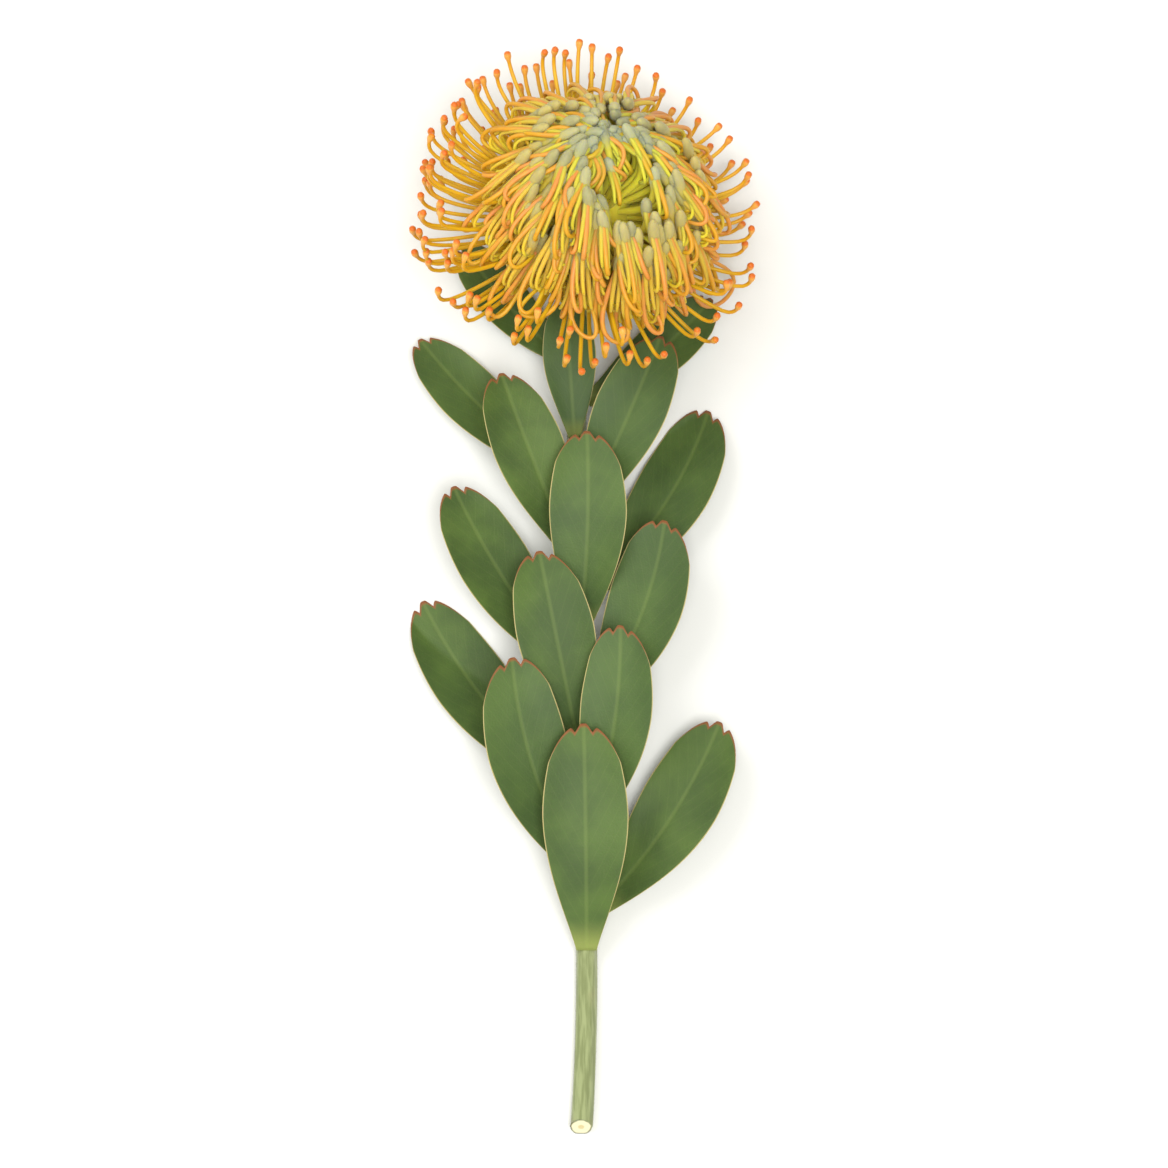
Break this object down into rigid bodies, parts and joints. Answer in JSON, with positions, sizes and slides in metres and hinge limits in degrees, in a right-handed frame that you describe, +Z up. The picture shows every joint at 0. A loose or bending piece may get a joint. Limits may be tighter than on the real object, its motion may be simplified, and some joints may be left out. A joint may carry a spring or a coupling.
{
  "type": "pincushion protea flower",
  "caption": "Cut pincushion flower laid on its side: a domed yellow-orange head of looped and free styles on a leafy, woody stem.",
  "frame": {"origin": "middle of the footprint, on the surface that the cut flower lies on", "axes": "+Y along the stem from its cut end to the flower head, +Z up, which is the way the head's face looks, +X to the right when the head is at the far end"},
  "size_m": [0.1168, 0.3516, 0.0755],
  "materials": {
    "stem": "young bark with a short grey felt of hairs",
    "bracts": "felted, with silky hairs along the edges",
    "florets": "soft satin petal tissue, felted at the tips of the buds",
    "leaf": "matt leathery leaf with a waxy bloom"
  },
  "bodies": {
    "root": {"stem": "stem", "involucre": "bracts", "flower_head": "florets", "leaf_01": "leaf", "leaf_02": "leaf", "leaf_03": "leaf", "leaf_04": "leaf", "leaf_05": "leaf", "leaf_06": "leaf", "leaf_07": "leaf", "leaf_08": "leaf", "leaf_09": "leaf", "leaf_10": "leaf", "leaf_11": "leaf", "leaf_12": "leaf", "leaf_13": "leaf", "leaf_14": "leaf", "leaf_15": "leaf", "leaf_16": "leaf"}
  },
  "joints": []
}
